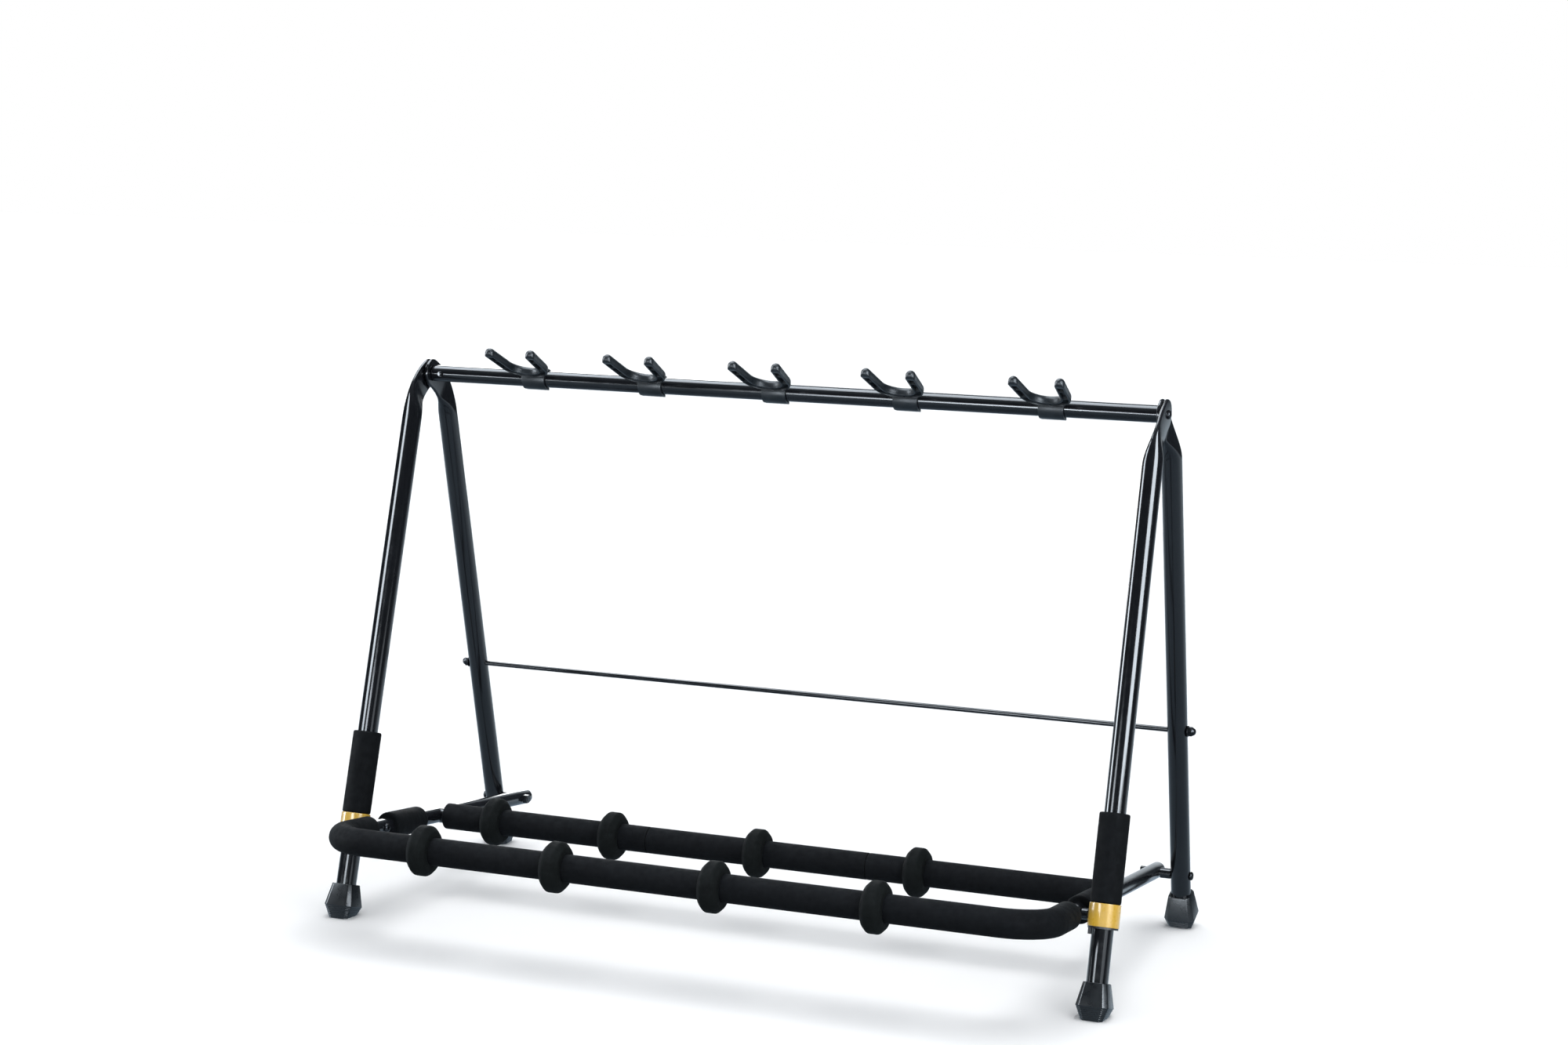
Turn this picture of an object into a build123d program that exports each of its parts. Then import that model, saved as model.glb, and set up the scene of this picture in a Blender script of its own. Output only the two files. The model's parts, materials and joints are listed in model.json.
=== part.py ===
"""Folding five-place guitar rack: an A-frame of steel tube with a padded cradle and clip-on neck yokes.

Millimetres, +Z up, the floor at Z = 0, the rack's front towards -Y.
The origin is on the floor, under the centre of the whole rack.
"""
import os
from math import atan2, cos, hypot, pi, sin, tan

from build123d import *

os.makedirs("parts", exist_ok=True)

# ---- Driving dimensions ----
LEG_SPACING = 930.0        # between the left and right leg axes
HINGE_HEIGHT = 642.0       # top rail and hinge bolts above the floor
FOOT_REACH = 210.0         # a leg's axis meets the floor this far ahead of or behind the hinge
LEG_TOP_OFFSET = 32.0      # where the straight leg axis would cross hinge height
BEND_HEIGHT = 588.0        # the legs start to bend in towards the hinge here
LEG_D = 24.0
RAIL_D = 20.0
CRADLE_D = 19.0
WALL = 1.5
FOAM_D = 32.0
COLLAR_PIVOT_HEIGHT = 106.6
REAR_PIVOT_HEIGHT = 66.8
RAIL_INSET = 34.0          # side rail axis inboard of the leg axis
FRONT_BAR_REACH = 125.0    # front bar ahead of the collar pivot, along the side rail
REAR_BAR_REACH = 150.0     # rear bar behind the collar pivot, along the side rail
RAIL_TAIL = 22.0           # side rails carry on behind the rear pivot, to the middle of their round ends
CORNER_R = 50.0
TIE_ROD_HEIGHT = 255.0

# ---- Leg ends ----
BLADE_T = 4.4              # flattened leg end
BLADE_SHIFT = 2.7          # front blades lie outboard, rear blades inboard
FLAT_FROM = 0.6            # share of the bend over which the tube flattens
BEND_STEPS = 12
TUBE_START = 8.0           # the tube stops short of the floor inside its boot
PIN_R = 3.0                # every pivot bolt and the tie rod
PIN_HOLE_R = 3.08          # running clearance around a bolt

# ---- Rubber feet: chamfered squares up the leg axis (distance, size, chamfer) ----
FRONT_FOOT = ((-4.0, 23.5, 3.6), (12.8, 37.0, 5.4), (38.5, 27.5, 4.0))
REAR_FOOT = ((-4.0, 23.5, 3.6), (15.0, 37.0, 5.4), (44.0, 27.5, 4.0))

# ---- Sliding collars on the front legs ----
COLLAR_R = 17.5
COLLAR_L = 25.4
COLLAR_RISE = 13.5         # collar top above its pivot, along the leg
GRIP_R = 17.0
GRIP_L = 99.0
BUSH_BORE_R = 12.08
BUSH_R = 13.2
BUSH_SEAT_R = 14.5
FLANGE_R = 16.8
FLANGE_T = 2.2

# ---- Foam on the cradle ----
FOAM_BORE_R = 9.55
FRONT_FOAM_END = 26.0      # front foam stops this far ahead of the collar pivot
SIDE_FOAM = (20.0, 95.0)   # side foam starts and ends this far behind the collar pivot
REAR_FOAM_HALF = 418.0
REAR_SEAM = 141.0
SEAM_GAP = 0.4

# ---- Dividers: foam rings that slide along the padded bars ----
DIVIDER_R = 29.0
DIVIDER_T = 24.0
DIVIDER_BORE_R = 16.3
DIVIDER_EDGE = 6.0
FRONT_DIVIDERS = (-303.0, -136.0, 56.0, 245.0)
REAR_DIVIDERS = (-350.0, -190.0, 0.0, 202.0)

# ---- Neck yokes ----
YOKES = (-318.0, -163.0, -3.0, 161.0, 336.0)
YOKE_BEND_R = 24.0         # bend at the bottom of the U
YOKE_ARM_L = 43.0          # straight part of each arm
YOKE_SPLAY = 4.0           # degrees that each arm leans outwards
YOKE_RISE = 23.0           # degrees that the arms rise towards the front
YOKE_ARM_R = 5.8
YOKE_SEAT = (-14.5, 8.8)   # bottom of the U, ahead of and above the rail axis
CLIP_W = 30.0
CLIP_BORE_R = 10.15
CLIP_R = 12.8
CLIP_OPEN = (-75.0, 45.0)  # the clip's gap faces down and back, degrees up from +Y

# ---- Worked out from the above ----
HALF = LEG_SPACING / 2
LEG_RUN = FOOT_REACH - LEG_TOP_OFFSET
LEAN = atan2(LEG_RUN, HINGE_HEIGHT)
RAIL_X = HALF - RAIL_INSET
FLAT_W = BLADE_T + pi / 2 * (LEG_D - BLADE_T)


def leg_y(height):
    """Distance of a straight leg axis from the hinge's plane, at a height."""
    return FOOT_REACH - LEG_RUN * height / HINGE_HEIGHT


COLLAR_Y = -leg_y(COLLAR_PIVOT_HEIGHT)
REAR_PIVOT_Y = leg_y(REAR_PIVOT_HEIGHT)
RAIL_LENGTH = hypot(REAR_PIVOT_Y - COLLAR_Y, COLLAR_PIVOT_HEIGHT - REAR_PIVOT_HEIGHT)
RAIL_FALL = atan2(COLLAR_PIVOT_HEIGHT - REAR_PIVOT_HEIGHT, REAR_PIVOT_Y - COLLAR_Y)
FRONT_EDGE = COLLAR_Y - FRONT_BAR_REACH * cos(RAIL_FALL) - DIVIDER_R
REAR_EDGE = FOOT_REACH - REAR_FOOT[1][0] * sin(LEAN) + REAR_FOOT[1][1] / 2 * cos(LEAN)
HINGE_Y = -(FRONT_EDGE + REAR_EDGE) / 2

SIDES = (("left", -1), ("right", 1))
FRONT = -1
REAR = 1


# ---- Planes ----
def side_plane(x):
    """Upright plane across the rack: local x is +Y from the hinge, local y is +Z."""
    return Plane(origin=(x, HINGE_Y, 0), x_dir=(0, 1, 0), z_dir=(1, 0, 0))


def leg_plane(side, facing, along):
    """Plane square to a leg, at a distance along its axis from the floor."""
    up = (0, -facing * sin(LEAN), cos(LEAN))
    foot = Vector(side * HALF, HINGE_Y + facing * FOOT_REACH, 0)
    return Plane(origin=foot + Vector(*up) * along, x_dir=(1, 0, 0), z_dir=up)


def cradle_plane(along=0.0):
    """Plane of the cradle: local x is +X, local y runs back along the side rails."""
    y = HINGE_Y + COLLAR_Y + along * cos(RAIL_FALL)
    z = COLLAR_PIVOT_HEIGHT - along * sin(RAIL_FALL)
    return Plane(origin=(0, y, z), x_dir=(1, 0, 0), z_dir=(0, sin(RAIL_FALL), cos(RAIL_FALL)))


def cross_plane(x, y, z):
    """Plane whose normal is +X, for whatever is round about a crosswise axis."""
    return Plane(origin=(x, y, z), x_dir=(0, 1, 0), z_dir=(1, 0, 0))


def bar_point(along):
    """Y and Z of a crosswise bar of the cradle."""
    centre = cradle_plane(along).origin
    return centre.Y, centre.Z


HINGE = (HINGE_Y, HINGE_HEIGHT)
COLLAR_PIVOT = bar_point(0.0)
REAR_PIVOT = bar_point(RAIL_LENGTH)
FRONT_BAR = bar_point(-FRONT_BAR_REACH)
REAR_BAR = bar_point(REAR_BAR_REACH)
TIE_ROD = (HINGE_Y + leg_y(TIE_ROD_HEIGHT), TIE_ROD_HEIGHT)


# ---- Shapes that repeat ----
def ring(centre, outer_r, inner_r, start, length, mode=Mode.ADD):
    """A ring about a crosswise axis, from x = start, inside the current part."""
    with BuildSketch(cross_plane(start, *centre)) as profile:
        Circle(outer_r)
        if inner_r:
            Circle(inner_r, mode=Mode.SUBTRACT)
    extrude(profile.sketch, amount=length, mode=mode)


def span(side, near, far):
    """Start and length of a stretch of X given by distances from the middle."""
    return (near, far - near) if side > 0 else (-far, far - near)


def chamfered_square(size, chamfer_leg):
    """A square with its corners cut, inside the current sketch."""
    Rectangle(size, size)
    chamfer(vertices(), chamfer_leg)


def save(name, builder):
    builder.part.label = name
    export_step(builder.part, f"parts/{name}.step")


# ---- Legs ----
def make_leg(side, facing):
    """A round tube, bent in at the top, where it flattens into a blade with a bolt hole."""
    bend_along = BEND_HEIGHT / cos(LEAN)
    start_along = TUBE_START / cos(LEAN)
    shift = -facing * side * BLADE_SHIFT
    x = side * HALF
    run = leg_y(BEND_HEIGHT)
    rise = HINGE_HEIGHT - BEND_HEIGHT
    bulge = tan((pi / 2 - LEAN - atan2(rise, run)) / 2) / 2
    with BuildLine(side_plane(x)) as path:
        ThreePointArc(
            (facing * run, BEND_HEIGHT),
            (facing * (run / 2 + bulge * rise), BEND_HEIGHT + rise / 2 + bulge * run),
            (0, HINGE_HEIGHT),
        )
    bend = path.edges()[0]
    with BuildPart() as leg:
        with BuildSketch(leg_plane(side, facing, start_along)):
            Circle(LEG_D / 2)
        extrude(amount=bend_along - start_along)
        for step in range(BEND_STEPS + 1):
            share = step / BEND_STEPS
            flat = min(share / FLAT_FROM, 1.0)
            ease = (1 - cos(pi * flat)) / 2
            thick = LEG_D + (BLADE_T - LEG_D) * ease
            wide = max(thick + pi / 2 * (LEG_D - thick), thick + 0.2)
            centre = bend.position_at(share) + Vector(shift * ease, 0, 0)
            section = Plane(origin=centre, x_dir=(1, 0, 0), z_dir=bend.tangent_at(share))
            with BuildSketch(section):
                SlotOverall(wide, thick, rotation=90)
        loft(ruled=True)
        ring(HINGE, FLAT_W / 2, 0, x + shift - BLADE_T / 2, BLADE_T)
        with BuildSketch(leg_plane(side, facing, start_along)):
            Circle(LEG_D / 2 - WALL)
        extrude(amount=bend_along - start_along, mode=Mode.SUBTRACT)
        ring(HINGE, PIN_HOLE_R, 0, x - LEG_D / 2, LEG_D, mode=Mode.SUBTRACT)
        if facing == REAR:
            ring(TIE_ROD, PIN_HOLE_R, 0, x - LEG_D / 2, LEG_D, mode=Mode.SUBTRACT)
            ring(REAR_PIVOT, PIN_HOLE_R, 0, x - LEG_D / 2, LEG_D, mode=Mode.SUBTRACT)
    return leg


def make_foot(side, facing, sections):
    """A rubber boot over the leg's end, with its sole cut level with the floor."""
    with BuildPart() as foot:
        for low, high in zip(sections, sections[1:]):
            for along, size, chamfer_leg in (low, high):
                with BuildSketch(leg_plane(side, facing, along)):
                    chamfered_square(size, chamfer_leg)
            loft(ruled=True)
        with BuildSketch(leg_plane(side, facing, TUBE_START / cos(LEAN))):
            Circle(LEG_D / 2 + 0.05)
        extrude(amount=sections[-1][0], mode=Mode.SUBTRACT)
        split(bisect_by=Plane.XY, keep=Keep.TOP)
    return foot


for side_name, side in SIDES:
    for end_name, facing, sections in (("front", FRONT, FRONT_FOOT), ("rear", REAR, REAR_FOOT)):
        save(f"{end_name}_leg_{side_name}", make_leg(side, facing))
        save(f"{end_name}_foot_{side_name}", make_foot(side, facing, sections))

# ---- Top rail and hinges ----
RAIL_END = HALF - BLADE_SHIFT - BLADE_T / 2 - 0.9
WASHER_T = 0.8
PLUG_L = 25.0
BLADE_FACE = HALF + BLADE_SHIFT + BLADE_T / 2
HEAD_R = 5.25
HEAD_T = 3.2
SOCKET_R = 2.3


def bolt(centre, side, near, far, head_at_far=True):
    """A button-head bolt with a hex socket, its shank from near to far."""
    ring(centre, PIN_R, 0, *span(side, near, far))
    head = (far, far + HEAD_T) if head_at_far else (near - HEAD_T, near)
    ring(centre, HEAD_R, 0, *span(side, *head))
    face = head[1] if head_at_far else head[0]
    outward = side if head_at_far else -side
    with BuildSketch(cross_plane(side * face, *centre)) as socket:
        RegularPolygon(SOCKET_R, 6)
    extrude(socket.sketch, amount=-outward * HEAD_T * 0.55, mode=Mode.SUBTRACT)


with BuildPart() as top_rail:
    ring(HINGE, RAIL_D / 2, RAIL_D / 2 - WALL, -RAIL_END, 2 * RAIL_END)
save("top_rail", top_rail)

for side_name, side in SIDES:
    with BuildPart() as plug:
        ring(HINGE, RAIL_D / 2 - WALL - 0.05, PIN_R + 0.02, *span(side, RAIL_END - PLUG_L, RAIL_END))
    save(f"rail_plug_{side_name}", plug)

with BuildPart() as hinge_bolts:
    for side_name, side in SIDES:
        bolt(HINGE, side, RAIL_END - 18.0, BLADE_FACE)
save("hinge_bolts", hinge_bolts)

with BuildPart() as hinge_washers:
    for side_name, side in SIDES:
        for near in (RAIL_END, HALF - WASHER_T / 2):
            ring(HINGE, 8.0, PIN_HOLE_R, *span(side, near, near + WASHER_T))
save("hinge_washers", hinge_washers)

# ---- Tie rod across the rear legs ----
NUT_FLAT_R = 5.2
NUT_L = 5.0
ROD_WASHER_T = 1.2
LEG_FACE = HALF + LEG_D / 2

with BuildPart() as tie_rod:
    ring(TIE_ROD, PIN_R, 0, -(LEG_FACE + 8.0), 2 * (LEG_FACE + 8.0))
save("tie_rod", tie_rod)

with BuildPart() as acorn_nuts:
    for side_name, side in SIDES:
        base = side * (LEG_FACE + ROD_WASHER_T)
        tip = base + side * NUT_L
        with BuildSketch(cross_plane(base, *TIE_ROD)):
            RegularPolygon(NUT_FLAT_R, 6, major_radius=False)
        extrude(amount=side * NUT_L)
        with Locations(Location((tip, *TIE_ROD))):
            Sphere(NUT_FLAT_R - 0.2)
    ring(TIE_ROD, PIN_R + 0.02, 0, -(LEG_FACE + 8.0), 2 * (LEG_FACE + 8.0), mode=Mode.SUBTRACT)
    ring(TIE_ROD, 3 * NUT_FLAT_R, 0, -(LEG_FACE + ROD_WASHER_T), 2 * (LEG_FACE + ROD_WASHER_T),
         mode=Mode.SUBTRACT)
save("acorn_nuts", acorn_nuts)

with BuildPart() as rod_washers:
    for side_name, side in SIDES:
        ring(TIE_ROD, 7.0, PIN_HOLE_R, *span(side, LEG_FACE, LEG_FACE + ROD_WASHER_T))
save("rod_washers", rod_washers)

# ---- Cradle ----
RAIL_REAR = RAIL_LENGTH + RAIL_TAIL


def u_path(rear_end):
    """The cradle's bent line, from one side rail round the front bar to the other."""
    with BuildLine(cradle_plane()) as path:
        Polyline(
            (-RAIL_X, rear_end),
            (-RAIL_X, -FRONT_BAR_REACH),
            (RAIL_X, -FRONT_BAR_REACH),
            (RAIL_X, rear_end),
        )
        fillet(path.vertices().group_by(Axis.Z)[-1], CORNER_R)
    return path


def section_plane(path):
    """Plane square to the start of a path."""
    return Plane(origin=path.wire() @ 0, x_dir=(1, 0, 0), z_dir=path.wire() % 0)


rail_path = u_path(RAIL_REAR)
with BuildPart() as cradle_tube:
    with BuildSketch(section_plane(rail_path)):
        Circle(CRADLE_D / 2)
        Circle(CRADLE_D / 2 - WALL, mode=Mode.SUBTRACT)
    sweep(path=rail_path.wire())
    for side_name, side in SIDES:
        end = cradle_plane(RAIL_REAR).origin
        with Locations(Location((side * RAIL_X, end.Y, end.Z))):
            Sphere(CRADLE_D / 2)
        for pivot in (COLLAR_PIVOT, REAR_PIVOT):
            ring(pivot, PIN_HOLE_R, 0, side * RAIL_X - CRADLE_D / 2, CRADLE_D, mode=Mode.SUBTRACT)
save("cradle_tube", cradle_tube)

with BuildPart() as cross_tube:
    ring(REAR_BAR, CRADLE_D / 2, CRADLE_D / 2 - WALL, -RAIL_X, 2 * RAIL_X)
    for side_name, side in SIDES:
        rail_line = cradle_plane(REAR_BAR_REACH - CRADLE_D)
        with BuildSketch(Plane(origin=rail_line.origin + Vector(side * RAIL_X, 0, 0),
                               x_dir=(1, 0, 0), z_dir=rail_line.y_dir)):
            Circle(CRADLE_D / 2)
        extrude(amount=2 * CRADLE_D, mode=Mode.SUBTRACT)
save("cross_tube", cross_tube)

foam_path = u_path(-FRONT_FOAM_END)
with BuildPart() as front_foam:
    with BuildSketch(section_plane(foam_path)):
        Circle(FOAM_D / 2)
        Circle(FOAM_BORE_R, mode=Mode.SUBTRACT)
    sweep(path=foam_path.wire())
save("front_foam", front_foam)

REAR_FOAM = (
    ("left", -REAR_FOAM_HALF, -REAR_SEAM),
    ("center", -REAR_SEAM, REAR_SEAM),
    ("right", REAR_SEAM, REAR_FOAM_HALF),
)
for place, start, end in REAR_FOAM:
    with BuildPart() as rear_foam:
        ring(REAR_BAR, FOAM_D / 2, FOAM_BORE_R, start + SEAM_GAP / 2, end - start - SEAM_GAP)
    save(f"rear_foam_{place}", rear_foam)

for side_name, side in SIDES:
    start_plane = cradle_plane(SIDE_FOAM[0])
    with BuildPart() as side_foam:
        with BuildSketch(Plane(origin=start_plane.origin + Vector(side * RAIL_X, 0, 0),
                               x_dir=(1, 0, 0), z_dir=start_plane.y_dir)):
            Circle(FOAM_D / 2)
            Circle(FOAM_BORE_R, mode=Mode.SUBTRACT)
        extrude(amount=SIDE_FOAM[1] - SIDE_FOAM[0])
    save(f"side_foam_{side_name}", side_foam)

# ---- Cradle pivots ----
RAIL_IN = RAIL_X - CRADLE_D / 2
RAIL_OUT = RAIL_X + CRADLE_D / 2
COLLAR_FACE = HALF - COLLAR_R
PIVOT_GAP = 0.4            # the front pivot stops this short of the collar
SPACER_R = 6.2
REAR_SPACER_GAP = 0.3

with BuildPart() as front_pivot_bolts:
    for side_name, side in SIDES:
        bolt(COLLAR_PIVOT, side, RAIL_IN, COLLAR_FACE - PIVOT_GAP, head_at_far=False)
save("front_pivot_bolts", front_pivot_bolts)

with BuildPart() as front_pivot_spacers:
    for side_name, side in SIDES:
        ring(COLLAR_PIVOT, SPACER_R, PIN_HOLE_R, *span(side, RAIL_OUT, COLLAR_FACE - PIVOT_GAP))
save("front_pivot_spacers", front_pivot_spacers)

with BuildPart() as rear_pivot_bolts:
    for side_name, side in SIDES:
        bolt(REAR_PIVOT, side, RAIL_IN - 6.5, LEG_FACE + 0.2)
save("rear_pivot_bolts", rear_pivot_bolts)

with BuildPart() as rear_pivot_spacers:
    for side_name, side in SIDES:
        ring(REAR_PIVOT, SPACER_R, PIN_HOLE_R, *span(side, RAIL_OUT, HALF - LEG_D / 2 - REAR_SPACER_GAP))
save("rear_pivot_spacers", rear_pivot_spacers)

with BuildPart() as rear_pivot_nuts:
    for side_name, side in SIDES:
        start, length = span(side, RAIL_IN - 6.0, RAIL_IN)
        with BuildSketch(cross_plane(start, *REAR_PIVOT)):
            RegularPolygon(NUT_FLAT_R, 6, major_radius=False)
            Circle(PIN_R + 0.02, mode=Mode.SUBTRACT)
        extrude(amount=length)
save("rear_pivot_nuts", rear_pivot_nuts)

# ---- Sliding collars ----
COLLAR_ALONG = COLLAR_PIVOT_HEIGHT / cos(LEAN)
COLLAR_HIGH = COLLAR_ALONG + COLLAR_RISE
COLLAR_LOW = COLLAR_HIGH - COLLAR_L
TAB = (5.0, 3.6, 9.0)


def sleeve(side, low, high, outer_r, inner_r):
    """A ring about a front leg, inside the current part."""
    with BuildSketch(leg_plane(side, FRONT, low)) as profile:
        Circle(outer_r)
        Circle(inner_r, mode=Mode.SUBTRACT)
    extrude(profile.sketch, amount=high - low)


for side_name, side in SIDES:
    with BuildPart() as collar:
        sleeve(side, COLLAR_LOW, COLLAR_HIGH, COLLAR_R, BUSH_SEAT_R)
        fillet(collar.edges().filter_by(GeomType.CIRCLE).sort_by(SortBy.RADIUS)[-2:], 0.6)
    save(f"collar_{side_name}", collar)

    with BuildPart() as grip:
        sleeve(side, COLLAR_HIGH, COLLAR_HIGH + GRIP_L, GRIP_R, BUSH_R)
    save(f"foam_grip_{side_name}", grip)

    with BuildPart() as bush:
        sleeve(side, COLLAR_LOW - FLANGE_T, COLLAR_LOW, FLANGE_R, BUSH_BORE_R)
        sleeve(side, COLLAR_LOW, COLLAR_HIGH, BUSH_SEAT_R, BUSH_BORE_R)
        sleeve(side, COLLAR_HIGH, COLLAR_HIGH + GRIP_L, BUSH_R, BUSH_BORE_R)
        with BuildSketch(leg_plane(side, FRONT, COLLAR_LOW - TAB[2])):
            with Locations((-side * (BUSH_BORE_R + TAB[1] / 2 + 0.2), 0)):
                Rectangle(TAB[1], TAB[0])
        extrude(amount=TAB[2])
    save(f"slide_bush_{side_name}", bush)


# ---- Neck yokes ----
def make_clip(x):
    """A C-shaped spring clip over the top rail, with a lip to pull it off by."""
    lip_angle = CLIP_OPEN[0]
    with BuildPart() as clip:
        with BuildSketch(cross_plane(x - CLIP_W / 2, *HINGE)):
            Circle(CLIP_R)
            Circle(CLIP_BORE_R, mode=Mode.SUBTRACT)
            with BuildLine():
                reach = 2 * CLIP_R
                first = PolarLine((0, 0), reach, CLIP_OPEN[0])
                second = PolarLine((0, 0), reach, CLIP_OPEN[1])
                Line(first @ 1, second @ 1)
            make_face(mode=Mode.SUBTRACT)
            with PolarLocations(CLIP_R, 1, start_angle=lip_angle):
                Circle(1.9)
        extrude(amount=CLIP_W)
    return clip


def make_pad(x):
    """The rubber-covered U that holds a neck, rising towards the front and opening a little."""
    rise = YOKE_RISE * pi / 180
    splay = YOKE_SPLAY * pi / 180
    bend_end = (YOKE_BEND_R * cos(splay), YOKE_BEND_R * (1 - sin(splay)))
    tip = (bend_end[0] + YOKE_ARM_L * sin(splay), bend_end[1] + YOKE_ARM_L * cos(splay))
    seat = (x, HINGE_Y + YOKE_SEAT[0], HINGE_HEIGHT + YOKE_SEAT[1])
    yoke_plane = Plane(origin=seat, x_dir=(1, 0, 0), z_dir=(0, -sin(rise), -cos(rise)))
    with BuildLine(yoke_plane) as path:
        Line((-tip[0], tip[1]), (-bend_end[0], bend_end[1]))
        ThreePointArc((-bend_end[0], bend_end[1]), (0, 0), bend_end)
        Line(bend_end, tip)
    with BuildPart() as pad:
        with BuildSketch(section_plane(path)):
            Circle(YOKE_ARM_R)
        sweep(path=path.wire())
        for end in (path.wire() @ 0, path.wire() @ 1):
            with Locations(Location(end)):
                Sphere(YOKE_ARM_R)
        ring(HINGE, CLIP_R, 0, x - CLIP_W, 2 * CLIP_W, mode=Mode.SUBTRACT)
    return pad


for number, x in enumerate(YOKES, start=1):
    save(f"yoke_{number}_clip", make_clip(x))
    save(f"yoke_{number}_pad", make_pad(x))

# ---- Dividers ----
for row, bar, places in (("front", FRONT_BAR, FRONT_DIVIDERS), ("rear", REAR_BAR, REAR_DIVIDERS)):
    for number, x in enumerate(places, start=1):
        with BuildPart() as divider:
            ring(bar, DIVIDER_R, DIVIDER_BORE_R, x - DIVIDER_T / 2, DIVIDER_T)
            chamfer(divider.edges().filter_by(GeomType.CIRCLE).sort_by(SortBy.RADIUS)[-2:], DIVIDER_EDGE)
        save(f"{row}_divider_{number}", divider)
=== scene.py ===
"""Looks for the folding five-place guitar rack. Metres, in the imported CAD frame."""
import json
from math import asin, cos, pi, radians, sin, sqrt

import bmesh
import bpy
from mathutils import Matrix, Vector


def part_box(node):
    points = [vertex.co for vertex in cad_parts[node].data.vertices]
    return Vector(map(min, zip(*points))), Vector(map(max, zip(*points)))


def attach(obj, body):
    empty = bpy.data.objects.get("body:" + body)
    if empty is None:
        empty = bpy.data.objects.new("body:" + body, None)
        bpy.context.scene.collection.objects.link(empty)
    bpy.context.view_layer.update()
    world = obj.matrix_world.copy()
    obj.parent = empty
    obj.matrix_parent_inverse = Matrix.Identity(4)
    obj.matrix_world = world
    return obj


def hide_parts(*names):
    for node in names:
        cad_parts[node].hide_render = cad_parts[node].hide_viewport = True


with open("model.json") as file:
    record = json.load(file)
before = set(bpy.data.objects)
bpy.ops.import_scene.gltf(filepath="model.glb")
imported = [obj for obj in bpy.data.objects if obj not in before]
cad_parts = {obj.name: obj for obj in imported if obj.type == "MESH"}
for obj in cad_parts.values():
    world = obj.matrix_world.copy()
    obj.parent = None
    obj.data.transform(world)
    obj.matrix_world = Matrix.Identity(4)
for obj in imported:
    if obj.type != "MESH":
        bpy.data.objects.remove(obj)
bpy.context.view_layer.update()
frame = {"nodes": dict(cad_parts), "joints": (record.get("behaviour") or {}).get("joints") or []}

MM = 0.001
LEFT_RIGHT = (("left", -1), ("right", 1))
X = Vector((1, 0, 0))

# ---- Places and sizes, read from the frame ----
JOINTS = {joint["name"]: joint for joint in frame["joints"]}


def size(node):
    """Length, depth and height of a CAD node."""
    low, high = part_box(node)
    return high - low


def middle(node):
    """Centre of a CAD node's box."""
    low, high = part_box(node)
    return (low + high) / 2


HINGE = Vector(JOINTS["frame_fold"]["pos_m"])
REAR_PIVOT = Vector(JOINTS["cradle_fold"]["pos_m"])
FRONT_UP = Vector(JOINTS["collar_lift_left"]["axis"]).normalized()
REAR_UP = Vector((0, -FRONT_UP.y, FRONT_UP.z))
LEG_X = middle("front_leg_right").x
LEG_R = size("front_leg_right").x / 2
RAIL_R = size("top_rail").z / 2
CRADLE_R = size("cross_tube").z / 2
FOAM_R = size("rear_foam_center").z / 2
COLLAR_PIVOT = middle("front_pivot_spacers")
BACK = ((REAR_PIVOT - COLLAR_PIVOT) * Vector((0, 1, 1))).normalized()
CRADLE_UP = X.cross(BACK)
SIDE_X = middle("side_foam_right").x
FRONT_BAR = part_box("front_foam")[0].y + FOAM_R

# ---- Sizes of the CAD that no box shows ----
BEND_DROP = 54 * MM         # the legs start to bend in this far below the hinge
FLAT_FROM = 0.6             # share of the bend over which the tube flattens
BLADE_T = 4.4 * MM
BLADE_R = (BLADE_T + pi / 2 * (2 * LEG_R - BLADE_T)) / 2
BLADE_SHIFT = 2.7 * MM      # front blades lie outboard, rear blades inboard
CORNER_R = 50 * MM
RAIL_TAIL = 22 * MM         # the side rails go on behind the rear pivot, up to their round ends
FRONT_FOAM_END = -26 * MM   # the front foam stops this far ahead of the collar pivot
COLLAR_L, COLLAR_R, COLLAR_BORE_R = 25.4 * MM, 17.5 * MM, 14.5 * MM
GRIP_L, GRIP_R, GRIP_BORE_R = 99 * MM, 17.0 * MM, 13.0 * MM
ROD_WASHER_GAP = 0.2 * MM


def on_middle_plane(axis_point):
    """The same point on the rack's middle plane."""
    return Vector((0, axis_point.y, axis_point.z))


# ---- Mesh helpers ----
def finish_mesh(name, mesh, material, body, replaces, sharp=35):
    """Makes the object, with its finish, its body and the CAD nodes that it stands for."""
    piece = bpy.data.objects.new(name, mesh)
    bpy.context.scene.collection.objects.link(piece)
    mesh.materials.append(material)
    mesh.shade_smooth()
    mesh.set_sharp_from_angle(angle=radians(sharp))
    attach(piece, body)
    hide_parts(*replaces)
    return piece


def bridged(rings, closed=False, caps=True):
    """A mesh through rings of points that all have the same count. closed joins the last to the first."""
    bm = bmesh.new()
    loops = [[bm.verts.new(point) for point in ring] for ring in rings]
    count = len(loops[0])
    pairs = list(zip(loops, loops[1:]))
    if closed:
        pairs.append((loops[-1], loops[0]))
    for lower, upper in pairs:
        for i in range(count):
            j = (i + 1) % count
            bm.faces.new((lower[i], lower[j], upper[j], upper[i]))
    if caps and not closed:
        bm.faces.new(reversed(loops[0]))
        bm.faces.new(loops[-1])
    bmesh.ops.recalc_face_normals(bm, faces=bm.faces)
    return bm


def to_mesh(bm, name):
    mesh = bpy.data.meshes.new(name)
    bm.to_mesh(mesh)
    bm.free()
    return mesh


def join(parts, name):
    """One mesh from several bmeshes."""
    mesh = bpy.data.meshes.new(name)
    total = bmesh.new()
    for bm in parts:
        bm.to_mesh(mesh)
        bm.free()
        total.from_mesh(mesh)
    total.to_mesh(mesh)
    total.free()
    return mesh


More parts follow.
